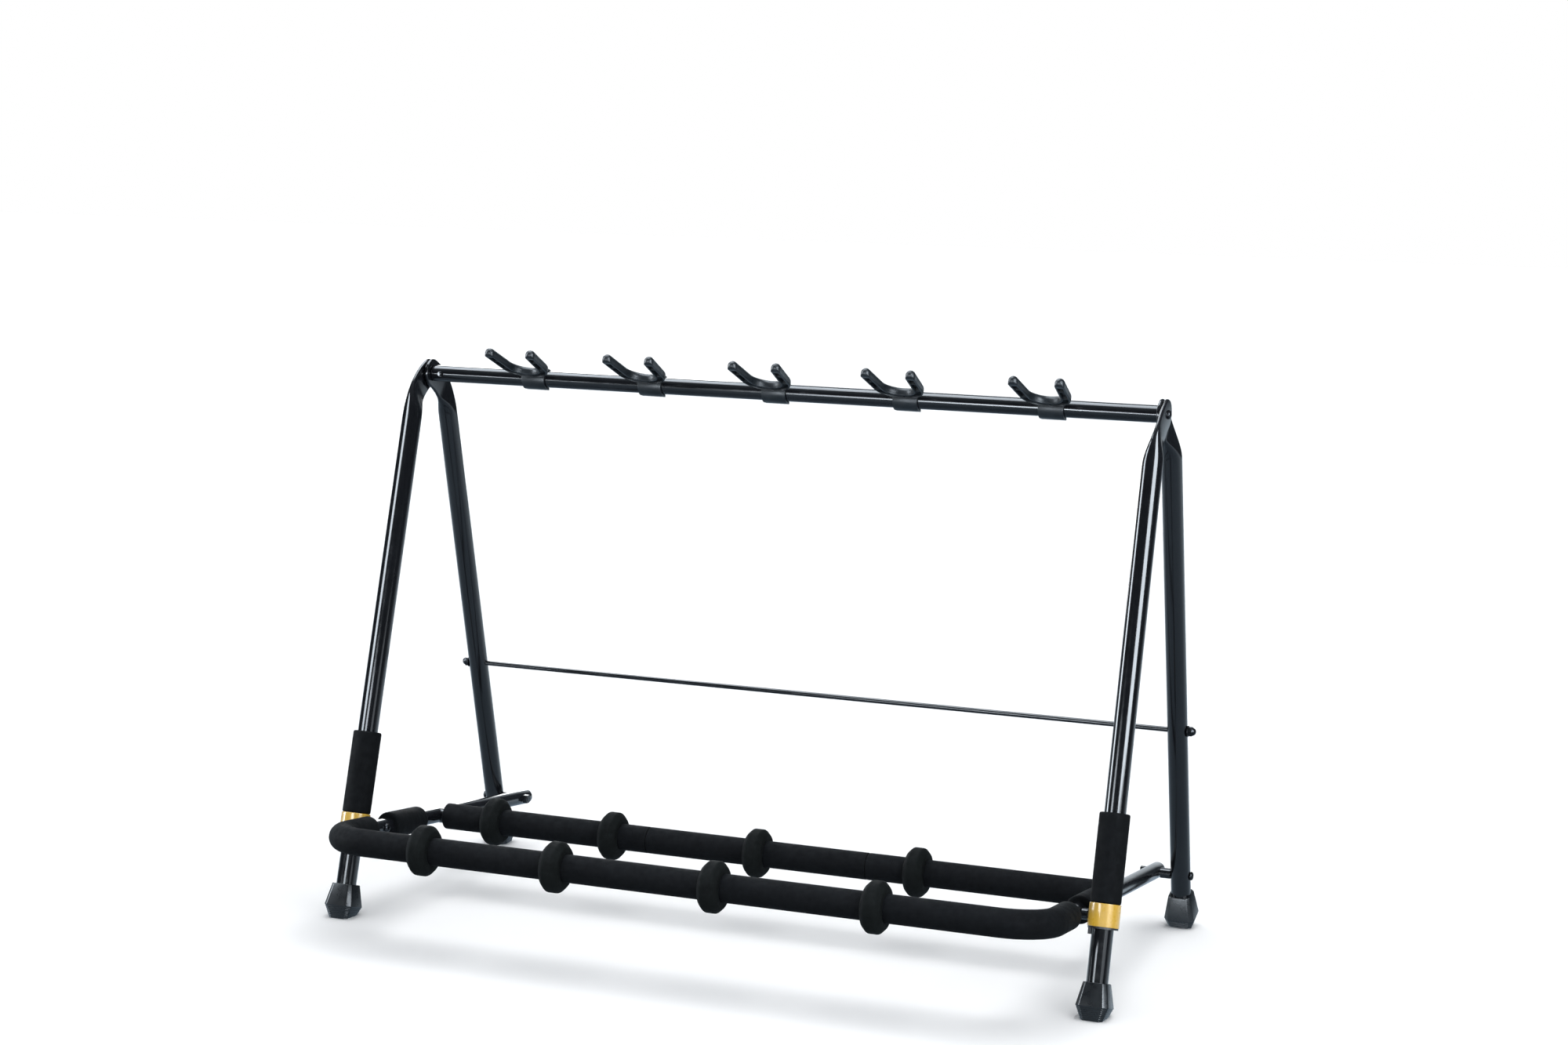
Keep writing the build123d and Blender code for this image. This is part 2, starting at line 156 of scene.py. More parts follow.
def circle_points(count):
    """Even angles round a circle."""
    return [2 * pi * i / count for i in range(count)]


def hexagon(angle, flat_radius):
    """Distance from the centre to a hexagon's side, at an angle."""
    return flat_radius / cos((angle % (pi / 3)) - pi / 6)


def turned(profile, origin, axis, across, count=48):
    """A turned shape. profile holds (radius, distance along), or (flat radius, distance along, "hex")."""
    other = axis.cross(across)
    rings = []
    for radius, along, *kind in profile:
        ring = []
        for angle in circle_points(count):
            r = hexagon(angle, radius) if kind else radius
            ring.append(origin + axis * along + (across * cos(angle) + other * sin(angle)) * r)
        rings.append(ring)
    return bridged(rings)


def hollow(profile, origin, axis, across, count=48):
    """A turned ring: the profile is a closed loop of (radius, distance along the axis)."""
    other = axis.cross(across)
    rings = [
        [origin + axis * along + (across * cos(a) + other * sin(a)) * radius for a in circle_points(count)]
        for radius, along in profile
    ]
    return bridged(rings, closed=True)


def rounded_sleeve(inner, outer, length, lip, steps=5):
    """Closed profile of a sleeve whose outer ends are rounded off by lip."""
    low = [(outer - lip + lip * sin(pi / 2 * i / steps), lip - lip * cos(pi / 2 * i / steps))
           for i in range(steps + 1)]
    low.append((outer, lip * 1.2))
    high = [(radius, length - along) for radius, along in reversed(low)]
    return [(inner, 0.0), *low, *high, (inner, length)]


# ---- Materials ----
def new_material(name):
    """A material with its node tree and its shader."""
    material = bpy.data.materials.new(name)
    material.use_nodes = True
    tree = material.node_tree
    return material, tree, tree.nodes["Principled BSDF"]


def noise(tree, scale, detail=4.0, roughness=0.55, stretch=(1, 1, 1)):
    """Noise in object space, optionally stretched."""
    coords = tree.nodes.new("ShaderNodeTexCoord")
    mapping = tree.nodes.new("ShaderNodeMapping")
    mapping.inputs["Scale"].default_value = stretch
    texture = tree.nodes.new("ShaderNodeTexNoise")
    texture.inputs["Scale"].default_value = scale
    texture.inputs["Detail"].default_value = detail
    texture.inputs["Roughness"].default_value = roughness
    tree.links.new(coords.outputs["Object"], mapping.inputs["Vector"])
    tree.links.new(mapping.outputs["Vector"], texture.inputs["Vector"])
    return texture.outputs["Fac"]


def cells(tree, scale):
    """Distance to the nearest cell centre, in object space."""
    coords = tree.nodes.new("ShaderNodeTexCoord")
    texture = tree.nodes.new("ShaderNodeTexVoronoi")
    texture.inputs["Scale"].default_value = scale
    tree.links.new(coords.outputs["Object"], texture.inputs["Vector"])
    return texture.outputs["Distance"]


def ramp(tree, source, low, high, start=0.0, end=1.0):
    """Maps a value to a blend of two colours or two greys."""
    node = tree.nodes.new("ShaderNodeValToRGB")
    for element, place, colour in zip(node.color_ramp.elements, (start, end), (low, high)):
        element.position = place
        element.color = (*colour, 1) if isinstance(colour, tuple) else (colour, colour, colour, 1)
    tree.links.new(source, node.inputs["Fac"])
    return node.outputs["Color"]


def bump(tree, shader, *layers):
    """Adds bump layers, each (height, strength, distance)."""
    previous = None
    for height, strength, distance in layers:
        node = tree.nodes.new("ShaderNodeBump")
        node.inputs["Strength"].default_value = strength
        node.inputs["Distance"].default_value = distance
        tree.links.new(height, node.inputs["Height"])
        if previous:
            tree.links.new(previous.outputs["Normal"], node.inputs["Normal"])
        previous = node
    tree.links.new(previous.outputs["Normal"], shader.inputs["Normal"])


def gloss_paint():
    """Black gloss powder coat: faint orange peel, fine dust and hairline marks in the gloss."""
    material, tree, shader = new_material("gloss_black_paint")
    tone = ramp(tree, noise(tree, 9.0), (0.004, 0.0045, 0.006), (0.0085, 0.0095, 0.012), 0.3, 0.7)
    tree.links.new(tone, shader.inputs["Base Color"])
    haze = ramp(tree, noise(tree, 60.0, 8.0, 0.7), 0.1, 0.2, 0.35, 0.75)
    tree.links.new(haze, shader.inputs["Roughness"])
    shader.inputs["Specular IOR Level"].default_value = 0.5
    peel = noise(tree, 900.0, 3.0, 0.6)
    slow = noise(tree, 55.0, 2.0, 0.5)
    bump(tree, shader, (slow, 0.012, 0.001), (peel, 0.05, 0.00012))
    return material


def foam(name, dark, light, cell_scale, depth):
    """Closed-cell foam: matte, with fine skinned cells and soft tone changes."""
    material, tree, shader = new_material(name)
    tone = ramp(tree, noise(tree, 55.0, 6.0, 0.65), dark, light, 0.3, 0.72)
    tree.links.new(tone, shader.inputs["Base Color"])
    rough = ramp(tree, noise(tree, 140.0, 4.0), 0.7, 0.9, 0.3, 0.7)
    tree.links.new(rough, shader.inputs["Roughness"])
    shader.inputs["Specular IOR Level"].default_value = 0.07
    shader.inputs["Sheen Weight"].default_value = 0.008
    shader.inputs["Sheen Roughness"].default_value = 0.5
    pores = cells(tree, cell_scale)
    fine = noise(tree, 1600.0, 4.0, 0.7)
    slow = noise(tree, 38.0, 3.0, 0.5)
    bump(tree, shader, (slow, 0.18, 0.0012), (pores, 0.3, depth), (fine, 0.22, 0.00012))
    return material


def moulded_rubber(name, dark, light, roughness, grain, shine):
    """Moulded rubber: satin, with fine grain and worn, slightly greyer patches."""
    material, tree, shader = new_material(name)
    tone = ramp(tree, noise(tree, 70.0, 5.0, 0.6), dark, light, 0.32, 0.72)
    tree.links.new(tone, shader.inputs["Base Color"])
    rough = ramp(tree, noise(tree, 120.0, 5.0), *roughness, 0.3, 0.7)
    tree.links.new(rough, shader.inputs["Roughness"])
    shader.inputs["Specular IOR Level"].default_value = shine
    texture = noise(tree, grain, 3.0, 0.6)
    slow = noise(tree, 160.0, 2.0)
    bump(tree, shader, (slow, 0.05, 0.0005), (texture, 0.15, 0.0002))
    return material


def yellow_paint():
    """Satin yellow anodised ring, with fine turned lines round it."""
    material, tree, shader = new_material("satin_yellow_collar")
    tone = ramp(tree, noise(tree, 45.0, 4.0), (0.68, 0.4, 0.035), (0.78, 0.48, 0.055), 0.3, 0.7)
    tree.links.new(tone, shader.inputs["Base Color"])
    rough = ramp(tree, noise(tree, 150.0, 4.0), 0.24, 0.36, 0.3, 0.7)
    tree.links.new(rough, shader.inputs["Roughness"])
    shader.inputs["Coat Weight"].default_value = 0.6
    shader.inputs["Coat Roughness"].default_value = 0.1
    lines = noise(tree, 700.0, 3.0, 0.6, stretch=(0.15, 0.15, 3.0))
    bump(tree, shader, (lines, 0.06, 0.0002))
    return material


def black_steel():
    """Black zinc fasteners: dark metal, a little uneven, brighter where tools have rubbed."""
    material, tree, shader = new_material("black_zinc_steel")
    worn = noise(tree, 220.0, 6.0, 0.7)
    tone = ramp(tree, worn, (0.012, 0.0125, 0.014), (0.05, 0.053, 0.058), 0.35, 0.85)
    tree.links.new(tone, shader.inputs["Base Color"])
    rough = ramp(tree, noise(tree, 400.0, 4.0), 0.2, 0.38, 0.3, 0.7)
    tree.links.new(rough, shader.inputs["Roughness"])
    shader.inputs["Metallic"].default_value = 0.85
    bump(tree, shader, (noise(tree, 1200.0, 3.0), 0.08, 0.0001))
    return material


def moulded_plastic():
    """Black nylon, slightly grained."""
    material, tree, shader = new_material("black_nylon")
    tone = ramp(tree, noise(tree, 80.0, 4.0), (0.007, 0.007, 0.008), (0.018, 0.019, 0.021), 0.3, 0.7)
    tree.links.new(tone, shader.inputs["Base Color"])
    rough = ramp(tree, noise(tree, 300.0, 4.0), 0.32, 0.5, 0.3, 0.7)
    tree.links.new(rough, shader.inputs["Roughness"])
    bump(tree, shader, (noise(tree, 1500.0, 3.0), 0.12, 0.0001))
    return material


PAINT = gloss_paint()
FOAM = foam("black_foam", (0.0012, 0.0017, 0.0024), (0.0028, 0.0038, 0.005), 2200.0, 0.00015)
DIVIDER_FOAM = foam("divider_foam", (0.0015, 0.0024, 0.0023), (0.0036, 0.0054, 0.0052), 2600.0, 0.00012)
YOKE_RUBBER = moulded_rubber(
    "yoke_rubber", (0.005, 0.0082, 0.0115), (0.0105, 0.0155, 0.0205), (0.32, 0.45), grain=1400.0, shine=0.36)
FOOT_RUBBER = moulded_rubber(
    "foot_rubber", (0.004, 0.0055, 0.0075), (0.008, 0.011, 0.014), (0.25, 0.33), grain=1100.0, shine=0.5)
YELLOW = yellow_paint()
STEEL = black_steel()
NYLON = moulded_plastic()


# ---- Legs ----
TIP_STEPS = 12
SQUARE_END = 3 * MM     # how far the axis at the tube's square end is above its lowest corner


def leg_up(end):
    """Direction of a leg's straight axis."""
    return FRONT_UP if end == "front" else REAR_UP


def leg_foot(end):
    """Where a leg's straight axis meets the floor, on the rack's middle plane."""
    up = leg_up(end)
    on_axis = on_middle_plane(COLLAR_PIVOT)
    if end == "rear":
        on_axis.y = 2 * HINGE.y - on_axis.y
    return on_axis - up * (on_axis.z / up.z)


def stadium(centre, wide_dir, thick_dir, wide, thick, count=64):
    """A ring that is a circle when wide equals thick, and a flattened tube when it is wider."""
    ring = []
    for angle in circle_points(count):
        side = 0 if abs(sin(angle)) < 1e-6 else (1 if sin(angle) > 0 else -1)
        across = side * (wide - thick) / 2 + thick / 2 * sin(angle)
        ring.append(centre + thick_dir * (thick / 2 * cos(angle)) + wide_dir * across)
    return ring


def leg(name, side, end):
    """Round tube, bent in at the top and flattened into a blade with a rounded end."""
    node = f"{end}_leg_{name}"
    facing = -1 if end == "front" else 1
    up = leg_up(end)
    foot = leg_foot(end)
    x = X * (side * LEG_X)
    start = foot + up * ((HINGE.z - BEND_DROP) / up.z)
    bottom = foot + up * (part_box(node)[0].z / up.z + SQUARE_END)
    rings = [stadium(x + bottom.lerp(start, share), up.cross(X), X, 2 * LEG_R, 2 * LEG_R)
             for share in (0.0, 0.5, 0.985, 1.0)]

    chord = HINGE - start
    lean = asin(abs(up.y))
    turn = 2 * (pi / 2 - lean - Vector((0, -facing, 0)).angle(chord))
    radius = chord.length / (2 * sin(turn / 2))
    normal = Vector((0, -facing * up.z, -abs(up.y)))
    centre = start + normal * radius
    shift = X * (-facing * side * BLADE_SHIFT)
    bend_steps = 44
    for step in range(1, bend_steps + 1):
        share = step / bend_steps
        angle = turn * share
        point = centre - normal * (radius * cos(angle)) + up * (radius * sin(angle))
        tangent = up * cos(angle) + normal * sin(angle)
        ease = (1 - cos(pi * min(share / FLAT_FROM, 1.0))) / 2
        thick = 2 * LEG_R + (BLADE_T - 2 * LEG_R) * ease
        wide = thick + pi / 2 * (2 * LEG_R - thick)
        rings.append(stadium(x + point + shift * ease, tangent.cross(X), X, wide, thick))

    for step in range(1, TIP_STEPS + 1):
        ahead = 0.999 * BLADE_R * sin(pi / 2 * step / TIP_STEPS)
        thick = BLADE_T * (1 - 0.5 * (step / TIP_STEPS) ** 14)
        wide = max(2 * sqrt(BLADE_R ** 2 - ahead ** 2), thick)
        rings.append(stadium(x + HINGE + tangent * ahead + shift, tangent.cross(X), X, wide, thick))
    finish_mesh(f"{node}_tube", to_mesh(bridged(rings), node), PAINT, f"{end}_frame", [node])


def legs():
    for name, side in LEFT_RIGHT:
        leg(name, side, "front")
        leg(name, side, "rear")


# ---- Feet ----
FOOT_TOP = {"front": 38.5, "rear": 44.0}        # distances along the leg, in mm
FOOT_WAIST = {"front": 12.8, "rear": 15.0}
FOOT_LOW = -4.0                                 # below the floor, which cuts the sole level
RIM_SIZE, RIM_CUT = 26.4, 3.7                   # width and corner cut, in mm
SHOULDER_SIZE, SHOULDER_CUT = 27.4, 4.0
WAIST_SIZE, WAIST_CUT = 37.0, 5.4
SOLE_SIZE, SOLE_CUT = 23.5, 3.6
RIBS = 8
RIB_PROFILE = ((0.1, 0.0), (0.6, 0.0), (0.7, 0.7), (0.9, 0.7))   # share of a rib, how far it is set in


def cut_square(centre, across, ahead, width, cut, soft=0.9 * MM):
    """A square ring with cut and softened corners."""
    half = width / 2
    corners = []
    for a, b in ((1, 1), (-1, 1), (-1, -1), (1, -1)):
        pair = [(a * half, b * (half - cut)), (a * (half - cut), b * half)]
        corners += pair if a * b > 0 else pair[::-1]
    ring = []
    count = len(corners)
    for i, (u, v) in enumerate(corners):
        corner = Vector((u, v))
        before = (Vector(corners[i - 1]) - corner).normalized() * soft
        after = (Vector(corners[(i + 1) % count]) - corner).normalized() * soft
        for share in (0.0, 0.5, 1.0):
            bend = corner + before * (1 - share) ** 2 + after * share ** 2
            ring.append(centre + across * bend.x + ahead * bend.y)
    return ring


def foot(name, side, end):
    """Rubber boot: plain faces above the waist, moulded ribs below, sole level with the floor."""
    node = f"{end}_foot_{name}"
    up = leg_up(end)
    base = leg_foot(end) + X * (side * LEG_X)
    waist, top = FOOT_WAIST[end], FOOT_TOP[end]
    profile = [(top, RIM_SIZE, RIM_CUT), (top - 0.7, SHOULDER_SIZE, SHOULDER_CUT)]
    profile += [(waist + 0.9, WAIST_SIZE - 0.4, WAIST_CUT - 0.1), (waist, WAIST_SIZE, WAIST_CUT)]
    for rib in range(RIBS):
        for part, inset in RIB_PROFILE:
            share = (rib + part) / RIBS
            width = WAIST_SIZE + (SOLE_SIZE - WAIST_SIZE) * share - inset
            cut = WAIST_CUT + (SOLE_CUT - WAIST_CUT) * share - inset * 0.3
            profile.append((waist + (FOOT_LOW - waist) * share, width, cut))
    rings = [cut_square(base + up * (along * MM), X, up.cross(X), width * MM, cut * MM)
             for along, width, cut in profile]
    rim = base + up * (top * MM)
    mouth = [rim + (point - rim).normalized() * (LEG_R + 0.15 * MM) for point in rings[0]]
    bm = bridged([[point - up * (2 * MM) for point in mouth], mouth, *rings])
    everything = [*bm.verts, *bm.edges, *bm.faces]
    bmesh.ops.bisect_plane(bm, geom=everything, plane_co=(0, 0, 0), plane_no=(0, 0, 1), clear_inner=True)
    bmesh.ops.holes_fill(bm, edges=[edge for edge in bm.edges if edge.is_boundary])
    bmesh.ops.recalc_face_normals(bm, faces=bm.faces)
    finish_mesh(f"{node}_boot", to_mesh(bm, node), FOOT_RUBBER,
                f"{end}_frame", [node], sharp=28)


def feet():
    for name, side in LEFT_RIGHT:
        foot(name, side, "front")
        foot(name, side, "rear")


# ---- Top rail, hinge bolts and tie rod ----
def top_rail():
    """Straight tube with rolled ends and a punched dimple by each, ahead or behind, which holds its plug."""
    length = size("top_rail").x
    start = Vector((-length / 2, HINGE.y, HINGE.z))
    wall, roll = 1.5 * MM, 0.5 * MM
    dimple_at, dimple_r, dimple_depth = 13 * MM, 2.2 * MM, 1.1 * MM
    angles = circle_points(96)

    def plain_ring(along, radius):
        return [start + Vector((along, cos(a) * radius, sin(a) * radius)) for a in angles]

    def dimpled_ring(along):
        end = min(along, length - along)
        rolled = RAIL_R - max(0.0, roll - end) * 0.6
        ring = []
        for a in angles:
            arc = (abs(a - pi) if along < length / 2 else min(a, 2 * pi - a)) * RAIL_R
            away = (arc ** 2 + (end - dimple_at) ** 2) / dimple_r ** 2
            radius = rolled - dimple_depth * max(0.0, 1 - away / 4) ** 2
            ring.append(start + Vector((along, cos(a) * radius, sin(a) * radius)))
        return ring

    fine = [i * 0.6 * MM for i in range(1, 40)]     # close rings near the ends, for the dimples
    stations = [0.0, *fine, length / 2, *[length - along for along in reversed(fine)], length]
    rings = [plain_ring(0.0, RAIL_R - wall), plain_ring(0.0, RAIL_R - roll)]
    rings += [dimpled_ring(along) for along in stations]
    rings.append(plain_ring(length, RAIL_R - wall))
    mesh = to_mesh(bridged(rings, closed=True), "top_rail")
    finish_mesh("top_rail_tube", mesh, PAINT, "front_frame", ["top_rail"])


# Turned profiles in mm: (radius, distance along), or (flat radius, distance along, "hex")
BUTTON_HEAD = (
    (2.1, 1.4, "hex"), (2.1, 3.0, "hex"), (2.5, 3.2), (3.4, 3.08), (4.3, 2.6), (4.9, 1.8), (5.2, 0.9),
    (5.25, 0.3), (5.1, 0.0), (3.0, 0.0),
)
ACORN = (
    (3.0, 0.0), (6.6, 0.0), (6.8, 0.3), (6.8, 0.9), (6.4, 1.2), (5.0, 1.3), (5.2, 1.6, "hex"),
    (5.2, 5.4, "hex"), (5.0, 6.1), (4.6, 7.0), (3.9, 8.3), (2.9, 9.3), (1.6, 9.9), (0.1, 10.1),
)
HEAD_T = 3.2 * MM
BOLT_R = 3.0 * MM
HINGE_BOLT_L = 30 * MM
REAR_NUT_DEPTH = 6.5 * MM


def in_metres(profile):
    """A turned profile with its radii and distances in metres."""
    return [(radius * MM, along * MM, *kind) for radius, along, *kind in profile]


def button_bolts(node, body, centre, under_head, tip):
    """A pair of button-head bolts. under_head and tip are distances from the rack's middle."""
    parts = []
    for _, side in LEFT_RIGHT:
        outward = X * (side if under_head > tip else -side)
        seat = on_middle_plane(centre) + X * (side * under_head)
        profile = [(0.01 * MM, 1.2 * MM), *in_metres(BUTTON_HEAD), (BOLT_R, -abs(under_head - tip))]
        parts.append(turned(profile, seat, outward, Vector((0, 1, 0))))
    finish_mesh(f"{node}_pair", join(parts, node), STEEL, body, [node], sharp=30)


def acorn_nuts():
    """The rod's domed nuts, each in one piece with its washer."""
    parts = []
    for _, side in LEFT_RIGHT:
        seat = on_middle_plane(middle("tie_rod")) + X * (side * (LEG_X + LEG_R + ROD_WASHER_GAP))
        parts.append(turned(in_metres(ACORN), seat, X * side, Vector((0, 1, 0))))
    finish_mesh("acorn_nuts_pair", join(parts, "acorn_nuts"), STEEL, "rear_frame",
                ["acorn_nuts", "rod_washers"], sharp=30)


def fasteners():
    hinge = size("hinge_bolts").x / 2
    front = size("front_pivot_bolts").x / 2
    rear = size("rear_pivot_bolts").x / 2
    inner = SIDE_X - CRADLE_R
    button_bolts("hinge_bolts", "front_frame", HINGE, hinge - HEAD_T, hinge - HINGE_BOLT_L)
    button_bolts("front_pivot_bolts", "cradle", COLLAR_PIVOT, inner, front)
    button_bolts("rear_pivot_bolts", "cradle", REAR_PIVOT, rear - HEAD_T, inner - REAR_NUT_DEPTH)
    acorn_nuts()


# ---- Cradle ----
def u_route(rear_end):
    """Points of the cradle's bent line, from the end of one side rail round to the other's."""
    corner_steps, bar_steps = 14, 60
    ahead = (FRONT_BAR - COLLAR_PIVOT.y) / BACK.y
    corner_x, corner_y = CORNER_R - SIDE_X, CORNER_R + ahead
    left = [(-SIDE_X, rear_end)]
    for step in range(corner_steps + 1):
        angle = pi + pi / 2 * step / corner_steps
        left.append((corner_x + CORNER_R * cos(angle), corner_y + CORNER_R * sin(angle)))
    bar = [(corner_x - 2 * corner_x * step / bar_steps, ahead) for step in range(1, bar_steps)]
    flat = left + bar + [(-x, y) for x, y in reversed(left)]
    return [on_middle_plane(COLLAR_PIVOT) + X * x + BACK * y for x, y in flat]


def subdivided(points, longest):
    """The same line, with no run longer than a given length."""
    fine = [points[0]]
    for before, after in zip(points, points[1:]):
        runs = max(1, int((after - before).length / longest))
        fine += [before.lerp(after, step / runs) for step in range(1, runs + 1)]
    return fine


def swept(points, up, radius_at, inner=None):
    """A round tube along a flat line. radius_at gives its radius at a distance along it, inner its bore."""
    lengths = [0.0]
    for before, after in zip(points, points[1:]):
        lengths.append(lengths[-1] + (after - before).length)

    def ring(index, radius):
        before = points[max(index - 1, 0)]
        after = points[min(index + 1, len(points) - 1)]
        across = (after - before).normalized().cross(up)
        return [points[index] + (across * cos(a) + up * sin(a)) * radius for a in circle_points(48)]

    rings = [ring(index, radius_at(along, lengths[-1])) for index, along in enumerate(lengths)]
    if inner:
        rings += [ring(index, inner) for index in reversed(range(len(points)))]
    return bridged(rings, closed=bool(inner))


def with_close_ends(points, distances):
    """Adds points at these distances from both ends, so that a rounded end stays round."""
    first, last = points[0], points[-1]
    ahead = (points[1] - first).normalized()
    back = (points[-2] - last).normalized()
    head = [first + ahead * distance for distance in distances]
    tail = [last + back * distance for distance in reversed(distances)]
    return [first, *head, *points[1:-1], *tail, last]


def cradle_tube():
    """Bent tube whose rear ends are domed shut."""
    rear_end = (REAR_PIVOT - COLLAR_PIVOT).dot(BACK) + RAIL_TAIL + CRADLE_R
    route = subdivided(u_route(rear_end), longest=40 * MM)
    dome = [CRADLE_R * share for share in (0.02, 0.1, 0.25, 0.45, 0.7, 1.0)]
    route = with_close_ends(route, dome)

    def radius_at(along, total):
        end = min(along, total - along)
        if end >= CRADLE_R:
            return CRADLE_R
        return max(sqrt(CRADLE_R ** 2 - (CRADLE_R - end) ** 2), 0.2 * MM)

    mesh = to_mesh(swept(route, CRADLE_UP, radius_at), "cradle_tube")
    finish_mesh("cradle_tube_bent", mesh, PAINT, "cradle", ["cradle_tube"])


def sleeve_radius(outer, lip):
    """Radius of a foam sleeve along its length, rounded off at both ends."""
    def radius_at(along, total):
        end = min(along, total - along)
        if end >= lip:
            return outer
        return outer - lip + sqrt(lip ** 2 - (lip - end) ** 2)
    return radius_at


def foam_sleeve(name, node, points, up, lip=2.6 * MM):
    """A foam tube round a bar of the cradle, with its ends rounded off by lip."""
    route = subdivided(points, longest=12 * MM)
    route = with_close_ends(route, [lip * share for share in (0.08, 0.3, 0.6, 1.0)])
    mesh = to_mesh(swept(route, up, sleeve_radius(FOAM_R, lip), inner=CRADLE_R + 0.05 * MM), name)
    piece = finish_mesh(name, mesh, FOAM, "cradle", [node], sharp=60)


def straight(node, axis):
    """The two ends of a straight sleeve, from its box and its axis."""
    low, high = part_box(node)
    centre = (low + high) / 2
    if abs(axis.x) > 0.5:
        half = (high.x - low.x) / 2
    else:
        half = ((high - low).y - 2 * FOAM_R * abs(axis.z)) / (2 * abs(axis.y))
    return [centre - axis * half, centre + axis * half]


def cradle_foam():
    foam_sleeve("front_bar_foam", "front_foam", u_route(FRONT_FOAM_END), CRADLE_UP)
    for place in ("left", "center", "right"):
        node = f"rear_foam_{place}"
        foam_sleeve(f"{node}_sleeve", node, straight(node, X), Vector((0, 0, 1)), lip=1.2 * MM)
    for name, _ in LEFT_RIGHT:
        node = f"side_foam_{name}"
        foam_sleeve(f"{node}_sleeve", node, straight(node, BACK), CRADLE_UP)


# ---- Sliding collars ----
def collars():
    for name, _ in LEFT_RIGHT:
        body, collar, grip = f"collar_slide_{name}", f"collar_{name}", f"foam_grip_{name}"
        top = middle(collar) + FRONT_UP * (COLLAR_L / 2)
        profile = rounded_sleeve(COLLAR_BORE_R, COLLAR_R, COLLAR_L, 0.7 * MM)
        mesh = to_mesh(hollow(profile, top - FRONT_UP * COLLAR_L, FRONT_UP, X, count=96), collar)
        finish_mesh(f"{collar}_ring", mesh, YELLOW, body, [collar], sharp=50)
        profile = rounded_sleeve(GRIP_BORE_R, GRIP_R, GRIP_L, 2.2 * MM)
        mesh = to_mesh(hollow(profile, top, FRONT_UP, X), f"grip_{name}")
        piece = finish_mesh(f"{grip}_sleeve", mesh, FOAM, body, [grip], sharp=60)


# ---- Yokes ----
YOKE_COUNT = 5
YOKE_RISE = radians(23)
YOKE_AHEAD = Vector((0, -cos(YOKE_RISE), sin(YOKE_RISE)))
YOKE_FACE = Vector((0, -sin(YOKE_RISE), -cos(YOKE_RISE)))
YOKE_SEAT = Vector((0, -14.5 * MM, 8.8 * MM))    # the U's bottom, from the rail's axis
BEND_R = 24 * MM
BEND_TURN = radians(86)
ARM_L = 43 * MM
TIP_R = 5.8 * MM
RIB_PLACES = (-60, -36, 0, 36, 60)               # along the U from its bottom, in mm


def arm_section(groove, roundness):
    """Section of a yoke arm: a dome and a grooved face, or a circle when roundness is 1."""
    half, face, rim = 5.7 * MM, 4.9 * MM, 3.5 * MM
    dome = [pi * step / 14 for step in range(15)]
    points = [(half * cos(angle), -half * sin(angle) ** 0.9) for angle in dome]
    edge = [(half, face * 0.72), (half * 0.96, face * 0.92), (half * 0.86, face)]
    edge += [(rim, face), (rim * 0.97, face - groove * 0.08), (rim * 0.93, face - groove)]
    points += [(-u, v) for u, v in edge]
    points += [(0, face - groove), *reversed(edge)]
    vectors = [Vector(point) for point in points]
    return [vector.lerp(vector.normalized() * half, roundness) for vector in vectors]


def yoke_line(along):
    """Place and heading on the centre line of the U, at a distance along it from its bottom."""
    turn = max(-BEND_TURN, min(BEND_TURN, along / BEND_R))
    heading = Vector((cos(turn), sin(turn)))
    place = Vector((sin(turn), 1 - cos(turn))) * BEND_R
    return place + heading * (along - turn * BEND_R), heading


def yoke_pad(number):
    """Rubber U with domed arms and a ribbed groove along its face."""
    node = f"yoke_{number}_pad"
    seat = Vector((middle(f"yoke_{number}_clip").x, HINGE.y, HINGE.z)) + YOKE_SEAT
    reach = BEND_R * BEND_TURN + ARM_L
    half_rib, blend, solid_tip = 0.4 * MM, 0.5 * MM, 3.5 * MM
    deep, shallow, hair = 4.4 * MM, 0.7 * MM, 1e-7
    ribs = [place * MM for place in RIB_PLACES]
    steps = 100
    stops = {reach * (2 * step / steps - 1) for step in range(steps + 1)}
    for end in (reach - solid_tip, reach - solid_tip - blend):
        stops |= {-end, end}
    for place in ribs:
        stops |= {place - half_rib - blend, place - half_rib, place + half_rib, place + half_rib + blend}

    def groove(along):
        if abs(along) > reach - solid_tip - hair:
            return 0.0
        if any(abs(along - place) <= half_rib + hair for place in ribs):
            return shallow
        return deep

    def ring(along, depth, scale=1.0, ahead=0.0):
        place, heading = yoke_line(along)
        place += heading * ahead
        centre = seat + X * place.x + YOKE_AHEAD * place.y
        across = X * heading.y - YOKE_AHEAD * heading.x
        section = arm_section(depth, 1 - scale ** 4)
        return [centre + across * (u * scale) + YOKE_FACE * (v * scale) for u, v in section]

    turns = [pi / 2 * step / 12 for step in range(12)]
    tip = [(max(sin(turn), 0.05), TIP_R * cos(turn)) for turn in turns]
    rings = [ring(-reach, 0.0, scale, -ahead) for scale, ahead in tip]
    rings += [ring(stop, groove(stop)) for stop in sorted(stops)]
    rings += [ring(reach, 0.0, scale, ahead) for scale, ahead in reversed(tip)]
    finish_mesh(f"{node}_rubber", to_mesh(bridged(rings), node), YOKE_RUBBER,
                f"yoke_{number}", [node], sharp=42)


CLIP_INNER, CLIP_OUTER = 10.15 * MM, 12.8 * MM
CLIP_TOP, CLIP_LIP = radians(45), radians(285)
CLIP_STEPS = 48
LIP_SPAN, LIP_THICKER = radians(16), 1.3 * MM         # the clip thickens toward its lip
TOP_SPAN, TOP_THINNER = radians(10), 0.9 * MM         # and thins toward its top
CLIP_EDGE = ((0.0, 0.5), (0.15, 0.15), (0.5, 0.0))    # distance from the side, how far it is set in, in mm


